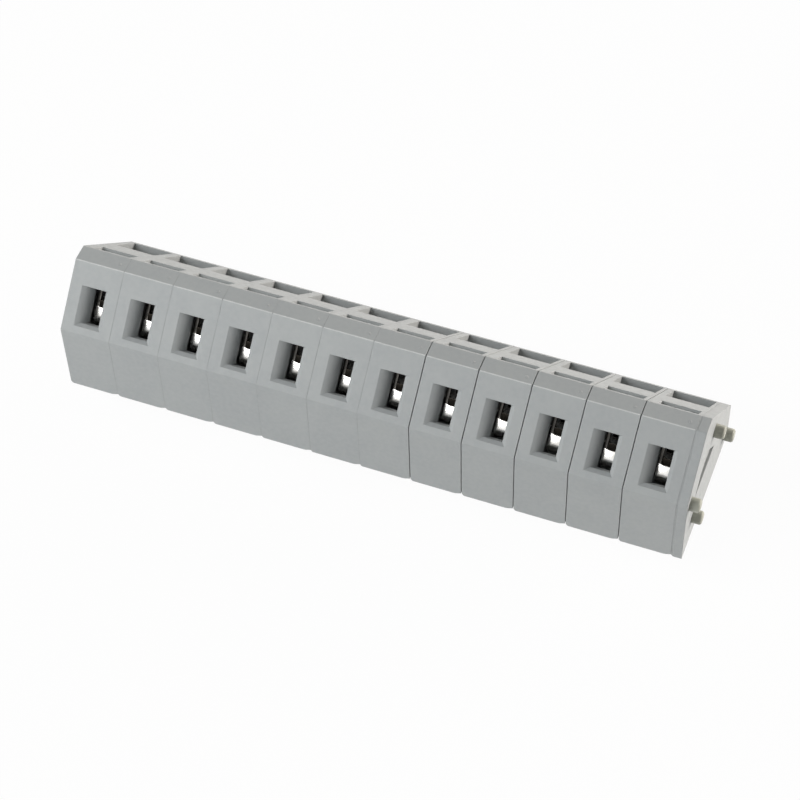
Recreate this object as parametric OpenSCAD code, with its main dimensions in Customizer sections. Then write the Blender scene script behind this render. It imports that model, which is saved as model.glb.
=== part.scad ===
// Spring-clamp terminal block for a circuit board: side-stacked poles closed by an end plate.
// Each pole is a moulded housing, open on its right, with a clamp spring hung on a solder bar inside.
// X runs along the strip, the wires enter from -Y, Z is up from the board.
// The origin is on the board face, in the middle of the pin field.

/* [Strip] */
// Number of poles
poles = 12; // [2:1:19]
// Pole pitch with the seam pushed shut
pitch = 5; // [4.6:0.1:6]
// Seams from the left that are pushed shut, the others are pulled apart
shut_seams = 6; // [0:1:18]
// Width of a seam that is pulled apart
seam_gap = 0.08; // [0:0.01:0.15]

/* [Profile] */
// Depth from the wire side to the back
depth = 15.3; // [14.6:0.1:17]
// Height of the upright front wall
front_h = 8.2; // [7.8:0.1:9.5]
// Rise of the 45 degree wire face above the front wall
wire_rise = 4.85; // [4.6:0.05:5.6]
// Depth of the flat top
top_flat = 1.75; // [1.4:0.05:2.3]
// Thickness of the outer walls
wall = 0.9; // [0.7:0.05:1.1]
// Thickness of the left side of a pole
side_wall = 1.05; // [0.9:0.05:1.2]
// Radius along the moulded edges
edge_r = 0.15; // [0.05:0.05:0.3]
// Width of the small bevel under the left side of the base
bevel_left = 0.25; // [0.1:0.05:0.5]
// Width of the long bevel under the right side of the base
bevel_right = 0.9; // [0.5:0.05:1.2]
// Height of both bevels
bevel_h = 0.35; // [0.1:0.05:0.5]

/* [Wire entry] */
// Width of the entry's mouth
mouth_w = 2.7; // [2.4:0.1:2.8]
// Height of the entry's mouth along the wire face
mouth_h = 3.9; // [3.4:0.1:4.2]
// Distance from the lower edge of the wire face to the mouth
mouth_sill = 0.7; // [0.5:0.05:1]
// Distance from the left side of a pole to the mouth
mouth_left = 1.2; // [1.1:0.05:1.4]
// Width of the round left side of the entry
funnel_left = 0.95; // [0.7:0.05:1]
// Bevel on the right side and the sill of the mouth
mouth_bevel = 0.35; // [0.2:0.05:0.4]
// Thickness of the wall round the entry
block_d = 1.45; // [1.35:0.05:1.6]

/* [Slope] */
// Distance from the flat top to the marker recess
marker_from_top = 0.25; // [0.2:0.05:0.5]
// Distance from the left side of a pole to the marker recess
marker_left = 0.95; // [0.8:0.05:1.1]
// Size of the marker recess along the slope
marker_d = 2.3; // [1.8:0.1:2.6]
// Length of the marker recess
marker_w = 3.7; // [3.2:0.1:3.8]
// Depth of the marker recess
marker_sink = 0.5; // [0.3:0.05:0.6]
// Distance from the flat top to the screwdriver slot
slot_from_top = 6.5; // [6:0.1:7]
// Rib on the left of the screwdriver slot
slot_left = 0.6; // [0.5:0.05:0.8]
// Rib on the right of the screwdriver slot
slot_right = 0.3; // [0.2:0.05:0.4]
// Lip behind the screwdriver slot
slot_lip = 0.7; // [0.6:0.05:1]

/* [Pegs] */
// Radius of the pegs that join the poles
peg_r = 0.65; // [0.5:0.05:0.7]
// Length of a peg that shows outside the end plate
peg_show = 0.95; // [0.6:0.05:1.1]
// Bevel at the tip of a peg
peg_bevel = 0.25; // [0.1:0.05:0.4]
// Clearance round a peg in its socket
peg_clear = 0.02; // [0.01:0.01:0.05]
// Clearance past the tip of a peg in its socket
socket_clear = 0.1; // [0.05:0.05:0.2]
// Wall left round a socket in its boss
boss_wall = 0.45; // [0.35:0.05:0.55]
// Drop of the top peg below the slope
top_peg_drop = 1.6; // [1.55:0.05:1.8]
// Distance of the front peg from the front wall's face
front_peg_in = 1.2; // [1.1:0.05:1.3]
// Drop of the front peg below the wire face
front_peg_drop = 1; // [0.9:0.05:1.4]
// Gap between the low peg's boss and the front pin
low_peg_gap = 0.5; // [0.4:0.05:0.8]
// Height of the low peg's boss above the floor
low_peg_lift = 1; // [0.6:0.1:1.2]
// Height of the back peg above the floor
back_peg_lift = 1; // [0.9:0.05:1.2]

/* [Contact bar] */
// Thickness of the contact bar
bar_t = 0.7; // [0.5:0.05:0.8]
// Width of the contact bar behind the spring
bar_w = 2; // [1.8:0.1:2.2]
// Gap between the entry's wall and the tip of the tongue
tongue_gap = 0.1; // [0.05:0.05:0.2]
// Radius of the bend between tongue and foot
bar_bend_r = 1; // [0.7:0.05:1.2]
// Width of a solder pin
pin_w = 0.8; // [0.6:0.05:0.9]
// Length of a solder pin below the board face
pin_l = 4; // [3:0.1:4.5]
// Length of a pin's tapered tip
pin_tip = 0.5; // [0.3:0.05:0.8]
// Distance of the front pin row from the wire side
pin_front = 4.9; // [4.7:0.1:5.2]
// Distance between the two rows of pins
row_space = 5; // [4.8:0.1:5.3]
// Clearance round a pin in the base
pin_clear = 0.1; // [0.05:0.05:0.2]

/* [Clamp spring] */
// Thickness of the clamp spring
spring_t = 0.35; // [0.3:0.05:0.4]
// Clearance on each side of the clamp spring
spring_side = 0.1; // [0.05:0.05:0.2]
// Width of the spring on each side of its window
rail_w = 0.35; // [0.3:0.05:0.4]
// Height of the clamping edge above the middle of the entry
clamp_line = 0.1; // [-0.1:0.05:0.2]
// Travel of the clamp when a screwdriver opens it
clamp_travel = 1.8; // [1.5:0.1:1.9]
// Clearance round the tongue in the spring's window
window_clear = 0.1; // [0.05:0.05:0.15]
// Clearance between the shut spring and the slope
spring_clear = 0.15; // [0.1:0.05:0.3]
// Distance of the window leg behind the tip of the tongue
window_back = 0.75; // [0.7:0.05:1]
// Radius where the top leg turns into the window leg
spring_bend_r = 0.7; // [0.5:0.05:0.9]
// Height of the flat strip under the window
clamp_flat = 1; // [0.8:0.05:1.1]
// Radius of the lip under the flat strip
lip_r = 0.6; // [0.4:0.05:0.7]
// Distance of the loop behind the front of the screwdriver slot
loop_back = 1.5; // [1.2:0.1:1.7]
// Length of the leg that lies on the tongue
leg_l = 3.2; // [2.8:0.1:3.4]
// Thickness of the rib that carries the tongue
rest_t = 0.8; // [0.6:0.05:1]
// Height of the rib that carries the tongue
rest_h = 2; // [1.6:0.1:2.2]

/* [End plate] */
// Thickness of the end plate
plate_t = 1; // [0.8:0.1:1.4]
// Depth of the shadow line where it meets the last pole
line_d = 0.08; // [0.05:0.01:0.12]
// Width of the shadow line
line_w = 0.12; // [0.1:0.02:0.2]
// Depth of the panel sunk in its outer face
panel_sink = 0.25; // [0.15:0.05:0.3]
// Distance of the panel from the wire side
panel_front = 2.8; // [2.6:0.1:3.2]
// Height of the panel's lower edge
panel_low = 5.9; // [5.6:0.1:6.2]
// Distance of the panel's back edge from the slope
panel_drop = 3.3; // [3.1:0.1:3.6]

/* [Hidden] */
function names(stem) = [for (k = [1 : poles]) str(stem, k < 10 ? "_0" : "_", k)];
HOUSINGS = names("housing");
BARS = names("contact_bar");
SPRINGS = names("clamp_spring");

eps = 0.01;
diag = sqrt(2);
round_fn = 13;
boss_fn = 8;
grey = [0.62, 0.64, 0.64];
tin = [0.80, 0.80, 0.78];
steel = [0.72, 0.73, 0.74];

// Corners of the side view, in Y and Z
top_z = front_h + wire_rise;
top_back = wire_rise + top_flat;
back_h = top_z - (depth - top_back);

// Frame of the wire entry: t runs along the wire, s up across the wire face, both at 45 degrees
mouth_mid = mouth_sill + mouth_h / 2;
entry_y = mouth_mid / diag;
entry_z = front_h + mouth_mid / diag;
slope_s = wire_rise * diag - mouth_mid + top_flat / diag;
slope_t = top_flat / diag;
slope_end_t = slope_t + (depth - top_back) * diag;
slot_t = slope_t + slot_from_top;
slot_end_t = slope_end_t - slot_lip;
function to_y(t, s) = entry_y + (t + s) / diag;
function to_z(t, s) = entry_z + (s - t) / diag;

// Pegs, in Y and Z: under the slope, in the back corner, at the wire side, beside the front pins
peg_len = plate_t + peg_show;
socket_d = peg_len + socket_clear;
boss_r = peg_r + boss_wall;
stem_r = 0.8 * boss_r;
top_peg_t = (slope_t + marker_from_top + marker_d + slot_t) / 2;
top_peg_s = slope_s - top_peg_drop;
top_peg = [to_y(top_peg_t, top_peg_s), to_z(top_peg_t, top_peg_s)];
back_peg = [depth - wall - peg_r, wall + back_peg_lift];
front_peg = [front_peg_in, front_h - front_peg_drop];
low_peg = [pin_front - bar_t / 2 - low_peg_gap - boss_r, wall + low_peg_lift + boss_r];
PEGS = [top_peg, back_peg, front_peg, low_peg];

// Room of the metal in X, from the tips of the pegs on its left to the bosses on its right
metal_end = pitch - wall;
metal_x = (socket_d + metal_end) / 2;
spring_w = metal_end - socket_d - 2 * spring_side;
window_w = spring_w - 2 * rail_w;
tongue_w = window_w - 2 * window_clear;

// Contact bar: tongue along the wire, foot down to the floor, web to the front pin
front_pin_x = metal_x + (bar_w - pin_w) / 2;
back_pin_x = metal_x - (bar_w - pin_w) / 2;
pin_back = pin_front + row_space;
tongue_s = clamp_line + bar_t / 2;
tongue_top = clamp_line + bar_t;
tongue_t = block_d + tongue_gap;
bend_z = to_z((pin_back - entry_y) * diag - tongue_s, tongue_s);

// Clamp spring: leg on the tongue, loop, top leg under the slope, window leg across the wire
leg_s = tongue_top + spring_t / 2;
top_s = slope_s - wall - spring_clear - spring_t / 2;
loop_r = (top_s - leg_s) / 2;
loop_t = slot_t + loop_back;
window_t = tongue_t + window_back;
window_top = tongue_top + clamp_travel + window_clear;
neck_t = window_t + spring_t / 2 + 2 * window_clear;

function pole_x(k) = (k - 1) * pitch + max(0, k - 1 - shut_seams) * seam_gap;
strip_w = pole_x(poles) + pitch;
origin_x = pole_x(poles) / 2 + metal_x;
origin_y = pin_front + row_space / 2;

function arc(u, v, r, from, to, steps) =
    [for (i = [0 : steps]) let (a = from + (to - from) * i / steps) [u + r * cos(a), v + r * sin(a)]];

// A path moved sideways by d, with mitred corners
function unit(v) = v / norm(v);
function left_of(v) = [-v[1], v[0]];
function beside(path, d) = [
    for (i = [0 : len(path) - 1])
        let (
            last = len(path) - 1,
            into = left_of(unit(path[max(i, 1)] - path[max(i, 1) - 1])),
            out = left_of(unit(path[min(i, last - 1) + 1] - path[min(i, last - 1)])),
            mid = unit(into + out)
        )
            path[i] + mid * d / (mid * into)
];
function turned(list) = [for (i = [len(list) - 1 : -1 : 0]) list[i]];

// Side view of a bent strip along a path
module strip(path, t) {
    polygon(concat(beside(path, t / 2), turned(beside(path, -t / 2))));
}

// Puts a shape drawn in t and s into Y and Z
module in_wire_frame() {
    translate([entry_y, entry_z]) rotate(-45) children();
}

// Extrudes a side view along X
module across(from, to) {
    translate([from, 0, 0]) rotate([90, 0, 90]) linear_extrude(to - from) children();
}

module at_x(x) {
    translate([x - origin_x, -origin_y, 0]) children();
}

module at_pegs(x) {
    for (p = PEGS)
        translate([x, p[0], p[1]]) rotate([0, 90, 0]) children();
}

module outline() {
    offset(r = edge_r, $fn = 8) offset(delta = -edge_r)
        polygon([
            [0, 0],
            [0, front_h],
            [wire_rise, top_z],
            [top_back, top_z],
            [depth, back_h],
            [depth, 0],
        ]);
}

// Eight-sided boss, its flats boss_r from the peg's middle
module boss(p) {
    turn = 180 / boss_fn;
    translate(p) rotate(turn) circle(boss_r / cos(turn), $fn = boss_fn);
}

// Boss of the top peg, hung from the roof between the marker recess and the screwdriver slot
module top_boss() {
    boss(top_peg);
    in_wire_frame() translate([top_peg_t - stem_r, top_peg_s]) square([2 * stem_r, top_peg_drop]);
}

// Boss of the back peg, run into the back wall and the floor
module back_boss() {
    boss(back_peg);
    translate([back_peg[0], 0]) square([depth, back_peg[1] + stem_r]);
    translate([back_peg[0] - stem_r, 0]) square([depth, back_peg[1]]);
}

// Boss of the low peg, standing on the floor
module low_boss() {
    boss(low_peg);
    translate([low_peg[0] - stem_r, 0]) square([2 * stem_r, low_peg[1]]);
}

// Rib under the tongue, which also stops the wire
module tongue_rest() {
    in_wire_frame() translate([loop_t - leg_l, clamp_line - rest_h]) square([rest_t, rest_h]);
}

// Hollow of a pole, behind the entry's wall and inside the other walls
module hollow() {
    difference() {
        intersection() {
            offset(delta = -wall) outline();
            in_wire_frame() translate([block_d, -2 * depth]) square([4 * depth, 4 * depth]);
        }
        back_boss();
        low_boss();
        tongue_rest();
    }
}

// Beside the spring the top and front bosses stand in the hollow, one to hold a socket, one to carry a peg
module hollow_beside_spring() {
    difference() {
        hollow();
        top_boss();
        boss(front_peg);
    }
}

// Round left side of the wire entry, square to the wire face where it meets the hollow
module round_side() {
    r = (funnel_left ^ 2 + block_d ^ 2) / (2 * funnel_left);
    translate([mouth_left + funnel_left - r, block_d, 0])
        cylinder(r = r, h = 3 * mouth_h, center = true, $fn = 4 * round_fn);
}

// Wire entry: its side view, with the bevelled sill, crossed with its plan, with the round side left standing
module wire_entry() {
    right = mouth_left + mouth_w;
    low = -mouth_h / 2;
    end_t = block_d + eps;
    intersection() {
        across(0, pitch) in_wire_frame()
            polygon([
                [-eps, low],
                [0, low],
                [mouth_bevel, low + mouth_bevel],
                [end_t, low + mouth_bevel],
                [end_t, -low],
                [-eps, -low],
            ]);
        translate([0, entry_y, entry_z]) rotate([-45, 0, 0]) difference() {
            linear_extrude(2 * mouth_h, center = true)
                polygon([
                    [mouth_left / 2, -eps],
                    [mouth_left / 2, end_t],
                    [right - mouth_bevel, end_t],
                    [right - mouth_bevel, mouth_bevel],
                    [right, 0],
                    [right, -eps],
                ]);
            round_side();
        }
    }
}

module marker_recess() {
    across(marker_left, marker_left + marker_w)
        in_wire_frame() translate([slope_t + marker_from_top, slope_s - marker_sink])
            square([marker_d, 2 * marker_sink]);
}

// Slot through the roof, let into the top of the left side
module screwdriver_slot() {
    slot_d = wall + slot_right;
    across(slot_left, pitch - slot_right)
        in_wire_frame() translate([slot_t, slope_s - slot_d])
            square([slot_end_t - slot_t, 2 * slot_d]);
}

// Slot in the base for a pin, open to the right so that the bar drops in
module pin_slot(x, y) {
    translate([x - pin_w / 2 - pin_clear, y - bar_t / 2 - pin_clear, -eps])
        cube([pitch, bar_t + 2 * pin_clear, wall + 2 * eps]);
}

// Bevel along the base, w wide at x, which leaves a notch at the seam
module base_bevel(x, w) {
    translate([x, depth + eps, 0]) rotate([90, 0, 0]) linear_extrude(depth + 2 * eps)
        polygon([[0, bevel_h], [0, -bevel_h], [2 * w, -bevel_h]]);
}

module peg() {
    shank = peg_len - peg_bevel;
    translate([0, 0, -wall / 2]) cylinder(r = peg_r, h = wall / 2 + shank, $fn = round_fn);
    translate([0, 0, shank]) cylinder(r1 = peg_r, r2 = peg_r - peg_bevel, h = peg_bevel, $fn = round_fn);
}

module peg_hole(l) {
    translate([0, 0, -eps]) cylinder(r = peg_r + peg_clear, h = l + eps, $fn = round_fn);
}

module housing(k) {
    color(grey) at_x(pole_x(k)) {
        difference() {
            across(0, pitch) outline();
            across(side_wall, pitch + eps) hollow_beside_spring();
            across(peg_len + socket_clear / 2, metal_end) hollow();
            wire_entry();
            marker_recess();
            screwdriver_slot();
            pin_slot(front_pin_x, pin_front);
            pin_slot(back_pin_x, pin_back);
            base_bevel(0, bevel_left);
            base_bevel(pitch, -bevel_right);
            at_pegs(0) peg_hole(socket_d);
        }
        at_pegs(pitch) peg();
    }
}

// Solder pin with a tapered tip, up to the top of the web
module solder_pin(x, y) {
    translate([x, y, -pin_l]) {
        linear_extrude(pin_tip, scale = 2) square([pin_w, bar_t] / 2, center = true);
        translate([-pin_w / 2, -bar_t / 2, pin_tip]) cube([pin_w, bar_t, pin_l - pin_tip + wall + bar_t]);
    }
}

module contact_bar(k) {
    bend = arc(pin_back - bar_bend_r, bend_z - bar_bend_r * tan(22.5), bar_bend_r, 45, 0, 3);
    start = [to_y(neck_t, tongue_s), to_z(neck_t, tongue_s)];
    color(tin) at_x(pole_x(k)) {
        across(metal_x - tongue_w / 2, metal_x + tongue_w / 2)
            in_wire_frame()
                polygon([
                    [tongue_t, tongue_top],
                    [tongue_t + bar_t / 2, clamp_line],
                    [neck_t + eps, clamp_line],
                    [neck_t + eps, tongue_top],
                ]);
        across(metal_x - bar_w / 2, metal_x + bar_w / 2)
            strip(concat([start], bend, [[pin_back, wall]]), bar_t);
        translate([front_pin_x - pin_w / 2, pin_front, wall]) cube([pin_w, row_space, bar_t]);
        solder_pin(front_pin_x, pin_front);
        solder_pin(back_pin_x, pin_back);
    }
}

module clamp_spring(k) {
    lip_s = clamp_line - clamp_flat;
    path = concat(
        [[loop_t - leg_l, leg_s]],
        arc(loop_t, leg_s + loop_r, loop_r, -90, 90, 8),
        arc(window_t + spring_bend_r, top_s - spring_bend_r, spring_bend_r, 90, 180, 3),
        arc(window_t + lip_r, lip_s, lip_r, 180, 270, 3)
    );
    color(steel) at_x(pole_x(k)) difference() {
        across(metal_x - spring_w / 2, metal_x + spring_w / 2) in_wire_frame() strip(path, spring_t);
        across(metal_x - window_w / 2, metal_x + window_w / 2)
            in_wire_frame() translate([window_t - spring_t, clamp_line])
                square([2 * spring_t, window_top - clamp_line]);
    }
}

// End plate, with a three-sided panel sunk in its outer face, its upper sides at 45 degrees
module end_plate() {
    panel_l = top_back + top_z - panel_drop * diag - panel_low - panel_front;
    color(grey) at_x(strip_w) difference() {
        union() {
            across(0, plate_t / 2) offset(delta = -line_d) outline();
            across(line_w, plate_t) outline();
        }
        across(plate_t - panel_sink, plate_t + eps) translate([panel_front, panel_low])
            polygon([[0, 0], [panel_l, 0], [panel_l / 2, panel_l / 2]]);
        base_bevel(0, bevel_left);
        at_pegs(0) peg_hole(plate_t + eps);
    }
}

for (k = [1 : poles]) {
    housing(k);
    contact_bar(k);
    clamp_spring(k);
}
end_plate();
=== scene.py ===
import bmesh
import bpy
import math
import numpy as np
from mathutils import Matrix, Vector


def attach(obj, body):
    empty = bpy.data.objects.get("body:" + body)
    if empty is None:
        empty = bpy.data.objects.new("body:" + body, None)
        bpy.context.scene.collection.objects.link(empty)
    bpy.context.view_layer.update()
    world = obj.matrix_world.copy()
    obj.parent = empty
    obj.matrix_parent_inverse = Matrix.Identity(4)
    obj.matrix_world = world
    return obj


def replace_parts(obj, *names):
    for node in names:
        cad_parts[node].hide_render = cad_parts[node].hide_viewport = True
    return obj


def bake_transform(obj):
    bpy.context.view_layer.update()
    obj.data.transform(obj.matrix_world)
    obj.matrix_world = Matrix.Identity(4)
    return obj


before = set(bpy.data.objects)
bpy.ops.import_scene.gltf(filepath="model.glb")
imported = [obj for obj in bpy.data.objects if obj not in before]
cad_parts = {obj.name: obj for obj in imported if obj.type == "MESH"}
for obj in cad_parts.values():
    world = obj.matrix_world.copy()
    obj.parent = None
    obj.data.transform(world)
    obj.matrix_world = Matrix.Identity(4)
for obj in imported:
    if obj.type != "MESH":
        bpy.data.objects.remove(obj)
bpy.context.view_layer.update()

mm = 0.001
root2 = math.sqrt(2)

# The row of poles, in mm as the solids have it: X from the left end, Y from the wire side, Z from the board
poleRow = {
    "poles": 12,
    "pitch": 5.0,
    "shutSeams": 6,      # the first seams are shut, the rest stand a little open
    "seamGap": 0.08,
    "originX": 30.775,
    "originY": 7.4,
    "topZ": 13.05,
    "plateFace": 61.4,   # outer face of the end plate
    "pinTip": -4.0,
}
poleNumbers = range(1, poleRow["poles"] + 1)


def poleLeft(k):  # left face of pole k, counted from 1
    return (k - 1) * poleRow["pitch"] + max(0, k - 1 - poleRow["shutSeams"]) * poleRow["seamGap"]


def toFrame(points):  # mm from the left front corner of the base to metres from the row's origin
    return (np.asarray(points, float) - [poleRow["originX"], poleRow["originY"], 0.0]) * mm


# Camera, as fitted to the photo: place in mm from the row's origin, and its own right and up
photoCamera = {
    "place": (54.038, -131.254, 184.316),
    "right": (0.93631568, 0.35043351, -0.02256771),
    "up": (-0.26397336, 0.74477418, 0.6128862),
    "lens": 109.262,
    "sensor": 36.0,
    "near": 0.01, "far": 50.0,   # in metres
}


def placeCamera(look):
    data = bpy.data.cameras.new("photoCamera")
    data.lens = look["lens"]
    data.sensor_fit = "HORIZONTAL"
    data.sensor_width = look["sensor"]
    data.clip_start = look["near"]
    data.clip_end = look["far"]
    camera = bpy.data.objects.new("photoCamera", data)
    right, up = Vector(look["right"]), Vector(look["up"])
    axes = Matrix((right, up, right.cross(up))).transposed()
    camera.matrix_world = Matrix.Translation(Vector(look["place"]) * mm) @ axes.to_4x4()
    bpy.context.collection.objects.link(camera)
    bpy.context.scene.camera = camera


placeCamera(photoCamera)
print("camera placed")


# Shader nodes
def feed(tree, node, values):  # a link where the value is a socket, else a constant
    for socket, value in values.items():
        if isinstance(value, bpy.types.NodeSocket):
            tree.links.new(value, node.inputs[socket])
        else:
            node.inputs[socket].default_value = value
    return node


def addNode(tree, kind, values=None, **settings):
    node = tree.nodes.new(kind)
    for key, value in settings.items():
        setattr(node, key, value)
    return feed(tree, node, values or {})


def math2(tree, operation, a, b, clamp=False):
    return addNode(tree, "ShaderNodeMath", {0: a, 1: b}, operation=operation, use_clamp=clamp).outputs[0]


def ramp(tree, value, low, high, outLow=0.0, outHigh=1.0):
    # Straight line from low..high to outLow..outHigh, held at its ends
    node = addNode(tree, "ShaderNodeMapRange", {"Value": value, "From Min": low, "From Max": high,
                                                "To Min": outLow, "To Max": outHigh})
    return node.outputs["Result"]


def objectPoint(tree):
    return addNode(tree, "ShaderNodeTexCoord").outputs["Object"]


def noiseAt(tree, where, scale, detail, distortion=0.0):
    values = {"Vector": where, "Scale": scale, "Detail": detail, "Distortion": distortion}
    return addNode(tree, "ShaderNodeTexNoise", values).outputs["Fac"]


# Shared shader groups
noiseSpan = {"soft": (0.3, 0.7), "hard": (0.35, 0.65)}   # the part of a noise that is drawn out to 0..1


def newGroup(name, inputs, outputs):  # the inputs are values that every use of the group sets
    group = bpy.data.node_groups.new(name, "ShaderNodeTree")
    for label in inputs:
        group.interface.new_socket(label, in_out="INPUT", socket_type="NodeSocketFloat")
    for label, kind in outputs.items():
        group.interface.new_socket(label, in_out="OUTPUT", socket_type="NodeSocket" + kind)
    return group, group.nodes.new("NodeGroupInput"), group.nodes.new("NodeGroupOutput")


grainNoise = {
    "fineDetail": 2.0, "coarseDetail": 3.0, "broadDetail": 4.0, "swirl": 0.8,
    "fineShare": 0.6, "coarseShare": 0.4,   # of the height
}


def makeMouldGrain(p):
    # Two fine noises give the spark-eroded skin, a broad one the flow of the melt
    tree, given, put = newGroup("mouldGrain", ("Fine", "Coarse", "Broad"),
                                {"Height": "Float", "Flow": "Float", "Speckle": "Float"})
    where = objectPoint(tree)
    fine = noiseAt(tree, where, given.outputs["Fine"], p["fineDetail"])
    coarse = noiseAt(tree, where, given.outputs["Coarse"], p["coarseDetail"])
    broad = noiseAt(tree, where, given.outputs["Broad"], p["broadDetail"], p["swirl"])
    height = math2(tree, "ADD", math2(tree, "MULTIPLY", fine, p["fineShare"]),
                   math2(tree, "MULTIPLY", coarse, p["coarseShare"]))
    feed(tree, put, {"Height": height, "Flow": ramp(tree, broad, *noiseSpan["soft"]),
                     "Speckle": ramp(tree, coarse, *noiseSpan["hard"])})
    return tree


edgeRubAndHighlight = {"rays": 6, "detail": 3.0, "left": (0.35, 1.0)}   # left: the share of the rub and painted highlight that the noise leaves


def makeSoftEdge(p):
    # A rounded normal at every edge, and a mask of how far it leans from the face, broken up by a noise. The
    # materials lighten the edges by this mask, for wear and as a painted highlight
    tree, given, put = newGroup("softEdge", ("Radius", "Gain", "Breakup"), {"Normal": "Vector", "RubAndHighlight": "Float"})
    bevel = addNode(tree, "ShaderNodeBevel", {"Radius": given.outputs["Radius"]}, samples=p["rays"])
    rounded = bevel.outputs["Normal"]
    flat = addNode(tree, "ShaderNodeNewGeometry").outputs["True Normal"]
    lean = addNode(tree, "ShaderNodeVectorMath", {0: rounded, 1: flat}, operation="DOT_PRODUCT")
    off = math2(tree, "SUBTRACT", 1.0, lean.outputs["Value"])
    noise = noiseAt(tree, objectPoint(tree), given.outputs["Breakup"], p["detail"])
    broken = ramp(tree, noise, *noiseSpan["hard"], *p["left"])
    gained = math2(tree, "MULTIPLY", off, given.outputs["Gain"], True)
    feed(tree, put, {"Normal": rounded, "RubAndHighlight": math2(tree, "MULTIPLY", gained, broken, True)})
    return tree


rollNoise = {"detail": 4.0}


def makeStripRoll(p):
    # Rolling streaks: a noise drawn out along the bent strip, so it changes quickly across X only
    tree, given, put = newGroup("stripRoll", ("Across", "Along", "Stain"), {"Streak": "Float", "Stain": "Float"})
    where = objectPoint(tree)
    along = given.outputs["Along"]
    scale = addNode(tree, "ShaderNodeCombineXYZ", {"X": given.outputs["Across"], "Y": along, "Z": along})
    drawn = addNode(tree, "ShaderNodeVectorMath", {0: where, 1: scale.outputs[0]}, operation="MULTIPLY")
    streak = noiseAt(tree, drawn.outputs["Vector"], 1.0, p["detail"])
    stain = noiseAt(tree, where, given.outputs["Stain"], p["detail"])
    feed(tree, put, {"Streak": ramp(tree, streak, *noiseSpan["soft"]),
                     "Stain": ramp(tree, stain, *noiseSpan["hard"])})
    return tree


mouldGrain = makeMouldGrain(grainNoise)
softEdge = makeSoftEdge(edgeRubAndHighlight)
stripRoll = makeStripRoll(rollNoise)
print("shader groups built")


# Materials
def linear(srgb):  # 0..255 display values to the linear colour a shader takes, by the sRGB curve
    c = np.asarray(srgb, float) / 255.0
    c = np.where(c <= 0.04045, c / 12.92, ((c + 0.055) / 1.055) ** 2.4)
    return (*c.tolist(), 1.0)


def mixColour(tree, factor, a, b):  # 6, 7 and the output 2 are the node's colour sockets
    return addNode(tree, "ShaderNodeMix", {0: factor, 6: a, 7: b}, data_type="RGBA").outputs[2]


def startMaterial(name):
    material = bpy.data.materials.new(name)
    material.use_nodes = True
    return material, material.node_tree, material.node_tree.nodes["Principled BSDF"]


def bumpNormal(tree, look, height, normal):
    values = {"Strength": look["bump"], "Distance": look["bumpDepth"], "Height": height, "Normal": normal}
    return addNode(tree, "ShaderNodeBump", values).outputs["Normal"]


greyPlastic = {
    "tone": (166, 170, 170),
    "flowTone": (161, 165, 166),   # where the melt ran thin
    "speckTone": (171, 174, 173), "speckShare": 0.35,
    "rubHighlightTone": (184, 187, 186),   # rubbed edges, lightened also as a painted edge highlight
    "grain": {"Fine": 8000.0, "Coarse": 2400.0, "Broad": 240.0},
    "edge": {"Radius": 0.00008, "Gain": 1.5, "Breakup": 1500.0},
    "rough": (0.46, 0.62),
    "shine": 0.42,
    "bump": 0.16, "bumpDepth": 0.000012,
    "seamShadeTone": (104, 106, 105),   # painted shade of the hairline gaps at the shut seams, seamHalf in mm
    "seamHalf": (0.012, 0.032), "seamShare": (0.08, 0.4),
}
pegPlastic = dict(greyPlastic, tone=(170, 172, 160), flowTone=(160, 162, 151), speckTone=(176, 178, 166),
                  rubHighlightTone=(182, 184, 172), rough=(0.38, 0.52))
# Painted highlight: the flash is much lighter than the housing, for the light its edge catches
flashHighlightPlastic = dict(greyPlastic, tone=(208, 211, 210), flowTone=(198, 201, 200), speckTone=(212, 215, 213),
                    rubHighlightTone=(216, 219, 217))


def paintedSeamShade(tree, look, wander):
    # Painted shade of a hairline gap: 1 at a whole number of pitches from the left end, falling to 0 within
    # seamHalf;
    # the ends of the row and the open seams are left out
    halfPitch = poleRow["pitch"] * mm / 2
    x = addNode(tree, "ShaderNodeSeparateXYZ", {0: objectPoint(tree)}).outputs["X"]
    along = math2(tree, "ADD", x, poleRow["originX"] * mm)
    near = math2(tree, "PINGPONG", along, halfPitch)
    inner, outer = look["seamHalf"]
    hair = ramp(tree, near, inner * mm, outer * mm, 1.0, 0.0)
    past = math2(tree, "GREATER_THAN", along, halfPitch)
    shut = math2(tree, "LESS_THAN", along, (2 * poleRow["shutSeams"] + 1) * halfPitch)
    share = ramp(tree, wander, 0.0, 1.0, *look["seamShare"])
    return math2(tree, "MULTIPLY", math2(tree, "MULTIPLY", hair, share), math2(tree, "MULTIPLY", past, shut))


def makePlastic(name, look):
    material, tree, shader = startMaterial(name)
    grain = addNode(tree, "ShaderNodeGroup", look["grain"], node_tree=mouldGrain).outputs
    edge = addNode(tree, "ShaderNodeGroup", look["edge"], node_tree=softEdge).outputs
    body = mixColour(tree, grain["Flow"], linear(look["flowTone"]), linear(look["tone"]))
    specks = math2(tree, "MULTIPLY", grain["Speckle"], look["speckShare"])
    speckled = mixColour(tree, specks, body, linear(look["speckTone"]))
    # Edges lighter for wear and as a painted highlight
    rubbedAndLit = mixColour(tree, edge["RubAndHighlight"], speckled, linear(look["rubHighlightTone"]))
    hair = paintedSeamShade(tree, look, grain["Flow"])
    smooth, matte = look["rough"]
    feed(tree, shader, {
        "Base Color": mixColour(tree, hair, rubbedAndLit, linear(look["seamShadeTone"])),
        "Roughness": ramp(tree, grain["Speckle"], 0.0, 1.0, matte, smooth),
        "Normal": bumpNormal(tree, look, grain["Height"], edge["Normal"]),
        "Specular IOR Level": look["shine"],
    })
    return material


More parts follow.
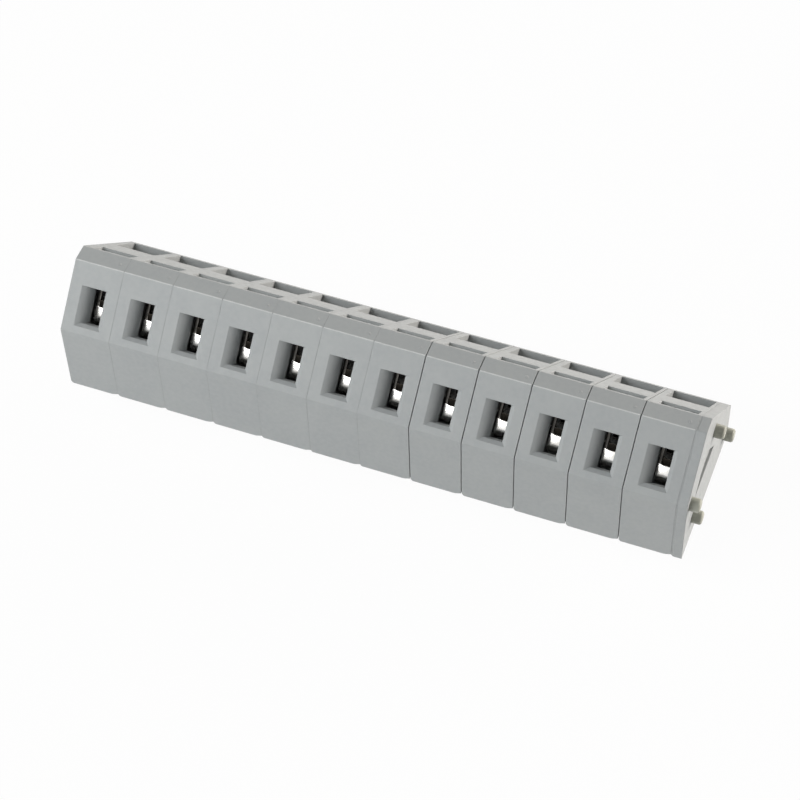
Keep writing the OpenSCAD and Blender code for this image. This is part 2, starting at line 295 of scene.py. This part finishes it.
tinPlate = {
    "tone": (182, 180, 173), "stainTone": (160, 156, 147), "rubHighlightTone": (194, 192, 186),
    "roll": {"Across": 9000.0, "Along": 600.0, "Stain": 1100.0},
    "edge": {"Radius": 0.00005, "Gain": 2.0, "Breakup": 1800.0},
    "rough": (0.22, 0.36), "bump": 0.2, "bumpDepth": 0.000006,
    "insideShadeTone": (58, 54, 49), "shadeRise": (0.0006, 0.0018),   # tinned pins, and from here up a dark tone as painted shade inside the housing
}
springSteel = {
    "tone": (243, 243, 241), "stainTone": (229, 227, 221), "rubHighlightTone": (246, 246, 245),
    "roll": {"Across": 14000.0, "Along": 420.0, "Stain": 800.0},
    "edge": {"Radius": 0.00004, "Gain": 2.0, "Breakup": 2200.0},
    "rough": (0.2, 0.28), "bump": 0.06, "bumpDepth": 0.000003,
}
# Painted shade: a dark steel for the spring faces above the clamping edge, which lie in shade inside the mouth
shadeSteelLook = dict(springSteel, tone=(84, 82, 79), stainTone=(66, 64, 61), rubHighlightTone=(96, 94, 90),
                  rough=(0.28, 0.4))


def makeMetal(name, look):
    material, tree, shader = startMaterial(name)
    roll = addNode(tree, "ShaderNodeGroup", look["roll"], node_tree=stripRoll).outputs
    edge = addNode(tree, "ShaderNodeGroup", look["edge"], node_tree=softEdge).outputs
    stained = mixColour(tree, roll["Stain"], linear(look["tone"]), linear(look["stainTone"]))
    # Edges lighter for wear and as a painted highlight
    skin = mixColour(tree, edge["RubAndHighlight"], stained, linear(look["rubHighlightTone"]))
    # Painted shade: above the pins the bar is drawn dark for the shade it lies in inside the housing
    if "shadeRise" in look:
        height = addNode(tree, "ShaderNodeSeparateXYZ", {0: objectPoint(tree)}).outputs["Z"]
        skin = mixColour(tree, ramp(tree, height, *look["shadeRise"]), skin, linear(look["insideShadeTone"]))
    feed(tree, shader, {
        "Base Color": skin,
        "Roughness": ramp(tree, roll["Streak"], 0.0, 1.0, *look["rough"]),
        "Normal": bumpNormal(tree, look, roll["Streak"], edge["Normal"]),
        "Metallic": 1.0,
    })
    return material


housingGrey = makePlastic("housingGrey", greyPlastic)
pegGrey = makePlastic("pegGrey", pegPlastic)
flashHighlightGrey = makePlastic("flashHighlightGrey", flashHighlightPlastic)
tinnedBar = makeMetal("tinnedBar", tinPlate)
rolledSteel = makeMetal("rolledSteel", springSteel)
shadedSpringSteel = makeMetal("shadedSpringSteel", shadeSteelLook)

for nodeName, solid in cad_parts.items():
    solid.data.materials.clear()
    solid.data.materials.append(tinnedBar if nodeName.startswith("contact_bar") else housingGrey)
print("materials on the solids")


# Meshes from arrays
def gridQuads(rows, cols, wrap=False):
    # Quad (i, j) joins the grid points (i, j), (i + 1, j), (i + 1, j + 1) and (i, j + 1); wrap closes the columns
    i, j = np.meshgrid(np.arange(rows - 1), np.arange(cols if wrap else cols - 1), indexing="ij")
    here, below, right = i * cols, (i + 1) * cols, (j + 1) % cols
    return np.stack([here + j, below + j, below + right, here + right], -1).reshape(-1, 4)


def newPiece(name, points, faces, material):  # points in metres, faces as lists
    mesh = bpy.data.meshes.new(name)
    mesh.from_pydata(points.tolist(), [], faces)
    mesh.update()
    piece = bpy.data.objects.new(name, mesh)
    bpy.context.collection.objects.link(piece)
    mesh.materials.append(material)
    return piece


def closeUp(piece):  # merges the points at the poles of a turned shape and points its faces outwards
    mergeReach = 1e-7
    work = bmesh.new()
    work.from_mesh(piece.data)
    bmesh.ops.remove_doubles(work, verts=work.verts, dist=mergeReach)
    bmesh.ops.recalc_face_normals(work, faces=work.faces)
    work.to_mesh(piece.data)
    work.free()


def smoothOver(piece, angle=35.0):
    mesh = piece.data
    mesh.polygons.foreach_set("use_smooth", np.ones(len(mesh.polygons), bool))
    mesh.set_sharp_from_angle(angle=math.radians(angle))


def bakeModifiers(piece):  # the finished mesh in place of the plain one
    shown = piece.evaluated_get(bpy.context.evaluated_depsgraph_get())
    mesh = bpy.data.meshes.new_from_object(shown)
    piece.modifiers.clear()
    piece.data = mesh


def addPlastic(name, points, faces, material, angle=35.0):  # a closed piece on the strip, points in mm
    piece = newPiece(name, toFrame(points), faces, material)
    closeUp(piece)
    smoothOver(piece, angle)
    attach(piece, "strip")


def arcPoints(centre, radius, start, stop, steps):  # points on a circle, angles in degrees
    a = np.radians(np.linspace(start, stop, steps + 1))
    return np.stack([centre[0] + radius * np.cos(a), centre[1] + radius * np.sin(a)], -1)


def line(a, b, steps):
    return np.linspace(a, b, steps + 1)


def roundTurn(steps):  # angles once round
    return np.linspace(0.0, 2 * np.pi, steps, endpoint=False)


# Clamp springs: one bent strip, in two pieces: the loop stays in place while the window leg rides the clamp's
# body
clampSpring = {
    "thick": 0.35,
    "left": 2.15, "right": 4.0,                   # across the pole, in mm from its left face
    "windowLeft": 2.5, "windowRight": 3.65,
    "windowLow": 0.1, "windowHigh": 2.7,          # along s
    "holeReach": 0.01,                            # how far behind the window leg its hole is cut
    "legS": 0.975, "legStart": 6.0374,
    "topS": 4.2213, "loopT": 9.2374,
    "windowT": 2.3, "topBend": 0.7,
    "lipS": -0.9, "lipR": 0.6, "lipTurn": 90.0,
    "edgeBevel": 0.05, "bevelSteps": 2, "bevelAngle": 60.0,
    "dome": 0.11, "domeX": 2.9, "domeWide": 0.9,  # pressed into the clamping edge
    "domeS": -0.5, "domeHigh": 0.62,
    "tiltEnd": 0.2,                               # from the bend to where the top leg moves in full
    "steps": {"leg": 8, "loop": 28, "top": 10, "bend": 10, "shoulder": 2, "window": 6, "edge": 8, "lip": 10,
              "side": 3, "middle": 10},
}
wireFrame = {"y": 1.87383, "z": 10.07383}   # middle of the mouth; t runs in along the wire, s up across it


def toSide(t, s):  # t and s, both at 45 degrees, to Y and Z in mm
    return wireFrame["y"] + (t + s) / root2, wireFrame["z"] + (s - t) / root2


def loopPath(p):  # leg on the tongue, half circle, top leg up to the bend
    loopR, steps = (p["topS"] - p["legS"]) / 2, p["steps"]
    return np.concatenate([
        line((p["legStart"], p["legS"]), (p["loopT"], p["legS"]), steps["leg"])[:-1],
        arcPoints((p["loopT"], p["legS"] + loopR), loopR, -90, 90, steps["loop"]),
        line((p["loopT"], p["topS"]), (p["windowT"] + p["topBend"], p["topS"]), steps["top"])[1:],
    ])


def windowPath(p):  # bend, straight leg with the window, lip rolled in under the tongue
    bendS, t, steps = p["topS"] - p["topBend"], p["windowT"], p["steps"]
    return np.concatenate([
        arcPoints((t + p["topBend"], bendS), p["topBend"], 90, 180, steps["bend"])[:-1],
        line((t, bendS), (t, p["windowHigh"]), steps["shoulder"])[:-1],
        line((t, p["windowHigh"]), (t, p["windowLow"]), steps["window"])[:-1],
        line((t, p["windowLow"]), (t, p["lipS"]), steps["edge"])[:-1],
        arcPoints((t + p["lipR"], p["lipS"]), p["lipR"], 180, 180 + p["lipTurn"], steps["lip"]),
    ])


def springColumns(p):
    steps = p["steps"]
    side = line(p["left"], p["windowLeft"], steps["side"])
    middle = line(p["windowLeft"], p["windowRight"], steps["middle"])[1:-1]
    return np.concatenate([side, middle, line(p["windowRight"], p["right"], steps["side"])])


def bentSheet(name, path, columns, p, hole=None):
    # The middle surface of the strip: path point i at every column x. Faces inside the hole are left out, and
    # those above its low edge get the dark steel as painted shade, so that only the clamping edge is bright. That
    # edge bulges towards the mouth by dome * (1 - u^2) * (1 - v^2), with u across and v along s, each from -1 to
    # 1
    across = np.tile(columns, len(path))
    t, s = np.repeat(path, len(columns), axis=0).T
    faces = gridQuads(len(path), len(columns))
    middleX, middleT, middleS = (values[faces].mean(1) for values in (across, t, s))
    dark = middleS > p["windowLow"]
    if hole:
        left, right, low, high = hole
        inside = (middleX > left) & (middleX < right) & (middleS > low) & (middleS < high)
        kept = ~(inside & (middleT < p["windowT"] + p["holeReach"]))
        faces, dark = faces[kept], dark[kept]
        u, v = (across - p["domeX"]) / p["domeWide"], (s - p["domeS"]) / p["domeHigh"]
        t = t - p["dome"] * np.clip(1 - u ** 2, 0, 1) * np.clip(1 - v ** 2, 0, 1)
    points = np.stack([across, *toSide(t, s)], -1)
    piece = newPiece(name, toFrame(points), faces.tolist(), rolledSteel)
    piece.data.materials.append(shadedSpringSteel)
    piece.data.polygons.foreach_set("material_index", dark.astype(np.int32))
    wall = piece.modifiers.new("wall", "SOLIDIFY")
    wall.thickness = p["thick"] * mm
    wall.offset = 0.0
    wall.use_even_offset = True
    soft = piece.modifiers.new("edges", "BEVEL")
    soft.width = p["edgeBevel"] * mm
    soft.segments = p["bevelSteps"]
    soft.limit_method = "ANGLE"
    soft.angle_limit = math.radians(p["bevelAngle"])
    bakeModifiers(piece)
    closeUp(piece)
    smoothOver(piece)
    return piece


def shiftedCopy(piece, name, dx):
    copy = bpy.data.objects.new(name, piece.data.copy())
    bpy.context.collection.objects.link(copy)
    places = np.empty(len(copy.data.vertices) * 3, np.float32)
    copy.data.vertices.foreach_get("co", places)
    places[0::3] += dx * mm
    copy.data.vertices.foreach_set("co", places)
    copy.data.update()
    return copy


def makeSprings(p):
    columns = springColumns(p)
    hole = (p["windowLeft"], p["windowRight"], p["windowLow"], p["windowHigh"])
    loop = bentSheet("springLoop", loopPath(p), columns, p)
    window = bentSheet("springWindow", windowPath(p), columns, p, hole)
    # The leg on the tongue, the loop and the top leg stay in place, and the window leg rides the clamp's body
    for k in poleNumbers:
        body, node = "clamp_%02d" % k, "clamp_spring_%02d" % k
        bow = shiftedCopy(loop, "springLoop_%02d" % k, poleLeft(k))
        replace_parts(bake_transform(bow), node)
        leg = shiftedCopy(window, "springWindow_%02d" % k, poleLeft(k))
        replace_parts(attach(leg, body), node)
    for plain in (loop, window):
        bpy.data.objects.remove(plain)


makeSprings(clampSpring)
print("clamp springs bent")


# Peg ends at the end plate: turned skins with a rounded end, fitted over the solid pegs
pegEnd = {
    "radius": 0.656, "from": 61.3, "to": 62.356, "round": 0.25,
    "steps": 56, "shankSteps": 4, "noseSteps": 10,
    "places": ((8.6683, 8.7190), (13.75, 1.9), (1.2, 7.2), (2.95, 3.0)),   # Y and Z
}


def turnedSkin(profile, centre, steps):
    # Profile points (x, radius) turned once round an axis along X at the centre's Y and Z
    x, r = np.repeat(profile, steps, axis=0).T
    turn = np.tile(roundTurn(steps), len(profile))
    points = np.stack([x, centre[0] + r * np.cos(turn), centre[1] + r * np.sin(turn)], -1)
    return points, gridQuads(len(profile), steps, wrap=True).tolist()


def makePegEnds(p):
    r, bend = p["radius"], p["to"] - p["round"]
    profile = np.concatenate([
        [(p["from"], 0.0), (p["from"], r)],
        line((poleRow["plateFace"], r), (bend, r), p["shankSteps"])[:-1],
        arcPoints((bend, r - p["round"]), p["round"], 90, 0, p["noseSteps"]),
        [(p["to"], 0.0)],
    ])
    for i, place in enumerate(p["places"], 1):
        addPlastic("pegEnd_%d" % i, *turnedSkin(profile, place, p["steps"]), pegGrey)


makePegEnds(pegEnd)
print("peg ends turned")


# Gate marks: a low broken-off nub of plastic on each flat top
gateMark = {
    "x": 4.25, "y": 5.55, "radius": 0.18, "high": 0.016, "sunk": 0.02,
    "wave": 0.25, "lobes": 3, "phase": 0.7,
    "rings": 7, "steps": 28, "smooth": 50.0,
}


def makeGateMarks(p):
    # Height over the top: high * (1 - q^2) * (1 + wave * cos(lobes * a + phase)), with q from 0 in the middle
    # to 1 at the rim, and a round the mark
    q, a = np.meshgrid(np.linspace(0.0, 1.0, p["rings"]), roundTurn(p["steps"]), indexing="ij")
    x, y = p["radius"] * q * np.cos(a), p["radius"] * q * np.sin(a)
    rise = p["high"] * (1 - q ** 2) * (1 + p["wave"] * np.cos(p["lobes"] * a + p["phase"]))
    upper = np.stack([x, y, rise], -1).reshape(-1, 3)
    under = np.stack([x, y, np.full_like(q, -p["sunk"])], -1).reshape(-1, 3)
    shell = np.concatenate([upper, under])
    count = len(upper)
    skin = gridQuads(p["rings"], p["steps"], wrap=True)
    rim = np.arange(count - p["steps"], count)
    nextRim = np.roll(rim, -1)
    wall = np.stack([rim, nextRim, nextRim + count, rim + count], -1)
    faces = np.concatenate([skin, skin[:, ::-1] + count, wall]).tolist()
    for k in poleNumbers:
        place = [poleLeft(k) + p["x"], p["y"], poleRow["topZ"]]
        addPlastic("gateMark_%02d" % k, shell + place, faces, housingGrey, p["smooth"])


makeGateMarks(gateMark)
print("gate marks set")


# Bars: a closed section at every row, joined along the rows and capped at both ends
def sweptBar(name, rows, material):
    count, points = rows.shape[1], rows.reshape(-1, 3)
    faces = gridQuads(len(rows), count, wrap=True).tolist()
    faces += [list(range(count)), list(range(len(points) - count, len(points)))]
    addPlastic(name, points, faces, material)


# Seam fill: what was pressed into the seam between the last pole and the end plate, swept round the outline
seamFill = {
    "left": 60.4005, "right": 60.5195,
    "inset": 0.006, "crown": 0.006, "deep": 0.07,   # under the outline
    "outline": ((0.0, 0.25), (0.0, 8.2), (4.85, 13.05), (6.6, 13.05), (15.3, 4.35), (15.3, 0.25)),   # Y and Z
    "across": 6,
}


def insetCorners(outline, depth):
    # Each corner moves in by depth along both of its sides: the sum of the unit normals over 1 + their product
    runs = np.diff(outline, axis=0)
    normals = np.stack([-runs[:, 1], runs[:, 0]], -1) / np.linalg.norm(runs, axis=1)[:, None]
    before = np.concatenate([normals[:1], normals])
    after = np.concatenate([normals, normals[-1:]])
    lean = (before + after) / (1 + (before * after).sum(1))[:, None]
    return outline - depth * lean


def makeSeamFill(p):
    # Section: a top that lies inset + crown * u^2 under the outline, with u from -1 to 1 across the seam
    outline = np.array(p["outline"])
    u = np.linspace(-1.0, 1.0, p["across"])
    across = p["left"] + (p["right"] - p["left"]) * (u + 1) / 2
    top = np.stack([across, p["inset"] + p["crown"] * u ** 2], -1)
    section = np.concatenate([top, [(p["right"], p["deep"]), (p["left"], p["deep"])]])
    columns = [np.insert(insetCorners(outline, depth), 0, x, axis=1) for x, depth in section]
    sweptBar("seamFill", np.stack(columns, 1), housingGrey)


makeSeamFill(seamFill)
print("seam filled")


# Parting lines: the thin flash that the mould leaves along the front edge of each flat top, drawn in a lighter
# grey as a painted highlight
partingLine = {
    "y": 4.85, "lean": 22.5,                  # the edge, and the way its middle faces, in degrees from up
    "half": 0.055, "high": 0.02, "sunk": 0.05, "under": 0.016,
    "swell": (0.6, 0.4), "waves": (4.1, 11.3),
    "clear": 0.05, "rows": 70, "across": 7,
}


def makePartingLines(p):
    # Section: high * (1 - u^2) over the rounded edge, with u from -1 to 1; along X the height rises and falls as
    # the product of two sines of unlike length, which start elsewhere on each pole
    lean = math.radians(p["lean"])
    out = np.array([-math.sin(lean), math.cos(lean)])
    side = np.array([math.cos(lean), math.sin(lean)])
    middle = np.array([p["y"], poleRow["topZ"]]) - p["under"] * out
    u = np.linspace(-1.0, 1.0, p["across"])
    lower = middle + p["half"] * np.array([1.0, -1.0])[:, None] * side - p["sunk"] * out
    (least, more), (slow, quick) = p["swell"], p["waves"]
    for k in poleNumbers:
        left, right = poleLeft(k), poleLeft(k) + poleRow["pitch"]
        x = np.linspace(left + p["clear"], right - p["clear"], p["rows"])
        swell = least + more * np.sin(slow * x + k) * np.sin(quick * x + 2 * k)
        rise = p["high"] * swell[:, None] * (1 - u ** 2)
        upper = middle + p["half"] * u[None, :, None] * side + rise[..., None] * out
        section = np.concatenate([upper, np.broadcast_to(lower, (len(x), *lower.shape))], 1)
        rows = np.concatenate([np.repeat(x[:, None, None], section.shape[1], 1), section], -1)
        sweptBar("partingLine_%02d" % k, rows, flashHighlightGrey)


makePartingLines(partingLine)
print("parting lines drawn")


# Floor, world and lamps
plainWhite = (1.0, 1.0, 1.0, 1.0)
whiteLight, warmLight = (1.0, 1.0, 1.0), (1.0, 0.93, 0.87)
studio = {
    "floorSize": 3.0, "floorPoints": 9,
    "floorTone": (0.86, 0.86, 0.86, 1.0), "floorRough": 0.9, "floorShine": 0.1,
    "glow": 0.96,                # share of plain white that the camera sees on the floor
    "sky": 0.1,
    "wide": 0.30, "high": 0.16,  # of every lamp
    "lamps": {
        "frontTop": {"place": (-0.17, -0.18, 0.28), "power": 0.93, "tone": whiteLight},
        "frontLow": {"place": (-0.27, -0.23, 0.03), "power": 0.52, "tone": whiteLight},
        "right": {"place": (0.38, 0.0, 0.08), "power": 0.2, "tone": warmLight},
        "rightBack": {"place": (0.34, 0.24, 0.06), "power": 2.1, "tone": warmLight},
        "back": {"place": (-0.05, 0.38, 0.07), "power": 0.48, "tone": warmLight},
    },
}


def whiteToCamera(tree):  # 1 for rays from the camera, or seen in metal or through glass
    path = addNode(tree, "ShaderNodeLightPath").outputs
    seen = math2(tree, "MAXIMUM", path["Is Camera Ray"], path["Is Glossy Ray"])
    return math2(tree, "MAXIMUM", seen, path["Is Transmission Ray"])


def blendSurface(tree, output, share, first, second):  # first and second shader, by the share of the second
    both = addNode(tree, "ShaderNodeMixShader", {0: share, 1: first.outputs[0], 2: second.outputs[0]})
    feed(tree, tree.nodes[output], {"Surface": both.outputs[0]})


def makeFloor(p):
    half, count = p["floorSize"] / 2, p["floorPoints"]
    side = np.linspace(-half, half, count)
    x, y = np.meshgrid(side, side, indexing="ij")
    points = np.stack([x, y, np.full_like(x, poleRow["pinTip"] * mm)], -1).reshape(-1, 3)
    material, tree, shader = startMaterial("paleFloor")
    feed(tree, shader, {"Base Color": p["floorTone"], "Roughness": p["floorRough"],
                        "Specular IOR Level": p["floorShine"]})
    white = addNode(tree, "ShaderNodeEmission", {"Color": plainWhite, "Strength": 1.0})
    share = math2(tree, "MULTIPLY", whiteToCamera(tree), p["glow"])
    blendSurface(tree, "Material Output", share, shader, white)
    newPiece("paleFloor", points, gridQuads(count, count).tolist(), material)


def makeWorld(p):
    world = bpy.data.worlds.new("studioSky")
    bpy.context.scene.world = world
    world.use_nodes = True
    tree = world.node_tree
    sky = feed(tree, tree.nodes["Background"], {"Color": plainWhite, "Strength": p["sky"]})
    white = addNode(tree, "ShaderNodeBackground", {"Color": plainWhite, "Strength": 1.0})
    blendSurface(tree, "World Output", whiteToCamera(tree), sky, white)


def makeLamps(p):
    for name, lamp in p["lamps"].items():
        data = bpy.data.lights.new(name, "AREA")
        data.shape = "RECTANGLE"
        data.size, data.size_y = p["wide"], p["high"]
        data.energy = lamp["power"]
        data.color = lamp["tone"]
        box = bpy.data.objects.new(name, data)
        place = Vector(lamp["place"])
        aim = (-place).to_track_quat("-Z", "Y")
        box.matrix_world = Matrix.Translation(place) @ aim.to_matrix().to_4x4()
        box.visible_camera = False
        bpy.context.collection.objects.link(box)


makeFloor(studio)
makeWorld(studio)
makeLamps(studio)
bpy.context.scene.view_settings.view_transform = "Standard"
print("studio lit")
